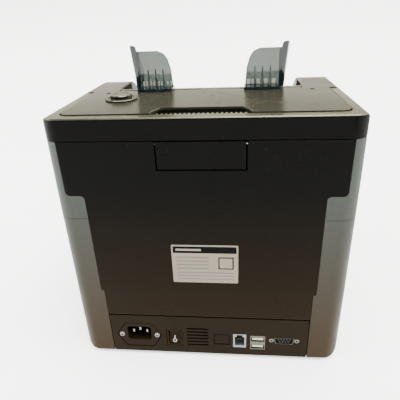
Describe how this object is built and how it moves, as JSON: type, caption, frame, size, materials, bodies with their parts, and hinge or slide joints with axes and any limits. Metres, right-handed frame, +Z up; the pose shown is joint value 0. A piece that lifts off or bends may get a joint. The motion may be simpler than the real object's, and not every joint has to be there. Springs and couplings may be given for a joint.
{
  "type": "banknote counting machine",
  "caption": "Desktop banknote counter with a sloped top hopper between sliding note guides, a front stacker pocket, a rear access door and an opening top unit.",
  "frame": {"origin": "on the surface the feet stand on, under the middle of the body", "axes": "+Z up; +Y out of the rear door and connector panel; the operator stands at -Y; +X is the operator's right"},
  "size_m": [0.262, 0.252, 0.2943],
  "materials": {
    "black_plastic": "satin",
    "grey_plastic": "satin, metallic look",
    "champagne_plastic": "gloss, metallic look",
    "rim_plastic": "satin, metallic look",
    "smoke_plastic": "clear, smoke tinted",
    "roller_rubber": "matt",
    "foot_rubber": "matt",
    "pin_steel": "ground",
    "plated_steel": "zinc plated",
    "socket_metal": "nickel plated",
    "supply_case": "satin",
    "nylon": "natural",
    "label_foil": "satin silver",
    "display_glass": "gloss",
    "key_plastic": "satin",
    "circuit_board": "solder mask",
    "socket_plastic": "satin"
  },
  "bodies": {
    "chassis": {"base_tray": "black_plastic", "foot_front_left": "foot_rubber", "foot_front_right": "foot_rubber", "foot_rear_left": "foot_rubber", "foot_rear_right": "foot_rubber", "left_lower_side_panel": "grey_plastic", "right_lower_side_panel": "grey_plastic", "left_upper_side_panel": "grey_plastic", "right_upper_side_panel": "grey_plastic", "rear_connector_panel": "black_plastic", "power_inlet": "black_plastic", "switch_bezel": "black_plastic", "phone_socket": "socket_plastic", "usb_socket": "socket_metal", "serial_socket": "socket_metal", "hopper_tray": "black_plastic", "front_panel": "black_plastic", "display_window": "display_glass", "stacker_pocket": "black_plastic", "left_side_frame": "plated_steel", "right_side_frame": "plated_steel", "main_board": "circuit_board", "power_supply": "supply_case", "main_motor": "plated_steel", "lower_image_sensor": "display_glass", "door_hinge_pin_left": "pin_steel", "door_hinge_pin_right": "pin_steel", "cover_hinge_pin_left": "pin_steel", "cover_hinge_pin_right": "pin_steel", "drive_belt": "roller_rubber"},
    "rear_door": {"rear_door": "black_plastic", "rating_label": "label_foil", "latch_pin": "pin_steel", "door_note_guide": "black_plastic", "upper_image_sensor": "display_glass"},
    "latch_flap": {"door_latch_flap": "black_plastic"},
    "top_unit": {"top_plate": "champagne_plastic", "top_rim": "rim_plastic", "top_skirt": "black_plastic", "handle_cup": "black_plastic", "hopper_back_wall": "black_plastic", "guide_rail": "champagne_plastic"},
    "thickness_knob": {"thickness_knob": "champagne_plastic"},
    "adjusting_screw": {"adjusting_screw": "pin_steel"},
    "retard_unit": {"retard_bracket": "pin_steel", "retard_rollers": "roller_rubber"},
    "left_guide": {"left_note_guide": "smoke_plastic"},
    "right_guide": {"right_note_guide": "smoke_plastic"},
    "guide_pinion": {"guide_pinion": "nylon"},
    "power_rocker": {"power_rocker": "black_plastic"},
    "pickup_shaft": {"pickup_roller_shaft": "roller_rubber"},
    "feed_shaft": {"feed_roller_shaft": "roller_rubber"},
    "transport_shaft": {"transport_roller_shaft": "roller_rubber"},
    "stacker_shaft": {"stacker_shaft": "pin_steel", "stacker_wheels": "roller_rubber"},
    "motor_shaft": {"motor_pulley": "nylon"},
    "start_key": {"start_key": "key_plastic"},
    "mode_key": {"mode_key": "key_plastic"},
    "up_key": {"up_key": "key_plastic"},
    "down_key": {"down_key": "key_plastic"}
  },
  "joints": [
    {"name": "rear_door_hinge", "type": "hinge", "parent": "chassis", "child": "rear_door", "pos_m": [0, 0.1238, 0.0542], "axis": [-1, 0, 0], "range_deg": [0, 75]},
    {"name": "latch_flap_hinge", "type": "hinge", "parent": "rear_door", "child": "latch_flap", "pos_m": [0, 0.1216, 0.2292], "axis": [-1, 0, 0], "range_deg": [0, 12], "stiffness_Nm_per_rad": 0.05, "springref_deg": -17.19},
    {"name": "top_unit_hinge", "type": "hinge", "parent": "chassis", "child": "top_unit", "pos_m": [0, -0.037, 0.244], "axis": [1, 0, 0], "range_deg": [0, 35]},
    {"name": "thickness_knob_turn", "type": "hinge", "parent": "top_unit", "child": "thickness_knob", "pos_m": [0.0784, 0.059, 0.252], "axis": [0, 0, 1], "range_deg": [-180, 180]},
    {"name": "adjusting_screw_travel", "type": "slide", "parent": "top_unit", "child": "adjusting_screw", "axis": [0, 0, 1], "range_m": [-0.0011, 0.0011]},
    {"name": "retard_tilt", "type": "hinge", "parent": "top_unit", "child": "retard_unit", "pos_m": [0, 0.04, 0.224], "axis": [1, 0, 0], "range_deg": [-3.3, 3.3]},
    {"name": "left_guide_slide", "type": "slide", "parent": "top_unit", "child": "left_guide", "axis": [1, 0, 0], "range_m": [-0.012, 0.025]},
    {"name": "right_guide_slide", "type": "slide", "parent": "top_unit", "child": "right_guide", "axis": [1, 0, 0], "range_m": [-0.026, 0.013]},
    {"name": "guide_pinion_turn", "type": "hinge", "parent": "top_unit", "child": "guide_pinion", "pos_m": [0, 0.013, 0.24], "axis": [0, 0, 1], "range_deg": [-160, 320]},
    {"name": "power_rocker_tilt", "type": "hinge", "parent": "chassis", "child": "power_rocker", "pos_m": [0.0342, 0.1205, 0.0242], "axis": [-1, 0, 0], "range_deg": [0, 16]},
    {"name": "stacker_spin", "type": "hinge", "parent": "chassis", "child": "stacker_shaft", "pos_m": [0, -0.024, 0.062], "axis": [1, 0, 0], "continuous": true},
    {"name": "motor_spin", "type": "hinge", "parent": "chassis", "child": "motor_shaft", "pos_m": [0, 0.02, 0.044], "axis": [1, 0, 0], "continuous": true},
    {"name": "feed_spin", "type": "hinge", "parent": "chassis", "child": "feed_shaft", "pos_m": [0, 0.014, 0.186], "axis": [1, 0, 0], "continuous": true},
    {"name": "pickup_spin", "type": "hinge", "parent": "chassis", "child": "pickup_shaft", "pos_m": [0, -0.02, 0.192], "axis": [1, 0, 0], "continuous": true},
    {"name": "transport_spin", "type": "hinge", "parent": "chassis", "child": "transport_shaft", "pos_m": [0, 0.048, 0.13], "axis": [1, 0, 0], "continuous": true},
    {"name": "start_key_press", "type": "slide", "parent": "chassis", "child": "start_key", "axis": [0, 0.9804, -0.1971], "range_m": [0, 0.0009], "stiffness_N_per_m": 300, "springref_m": -0.0015},
    {"name": "mode_key_press", "type": "slide", "parent": "chassis", "child": "mode_key", "axis": [0, 0.9804, -0.1971], "range_m": [0, 0.0009], "stiffness_N_per_m": 300, "springref_m": -0.0015},
    {"name": "up_key_press", "type": "slide", "parent": "chassis", "child": "up_key", "axis": [0, 0.9804, -0.1971], "range_m": [0, 0.0009], "stiffness_N_per_m": 300, "springref_m": -0.0015},
    {"name": "down_key_press", "type": "slide", "parent": "chassis", "child": "down_key", "axis": [0, 0.9804, -0.1971], "range_m": [0, 0.0009], "stiffness_N_per_m": 300, "springref_m": -0.0015}
  ],
  "couplings": [
    {"joint": "adjusting_screw_travel", "follows": "thickness_knob_turn", "m_per_rad": 0.0003183},
    {"joint": "retard_tilt", "follows": "thickness_knob_turn", "ratio": 0.016753},
    {"joint": "right_guide_slide", "follows": "left_guide_slide", "ratio": -1},
    {"joint": "guide_pinion_turn", "follows": "left_guide_slide", "rad_per_m": 212.8},
    {"joint": "motor_spin", "follows": "stacker_spin", "ratio": -2.6667},
    {"joint": "feed_spin", "follows": "stacker_spin", "ratio": -2.1818},
    {"joint": "pickup_spin", "follows": "stacker_spin", "ratio": -2.4},
    {"joint": "transport_spin", "follows": "stacker_spin", "ratio": -2}
  ]
}
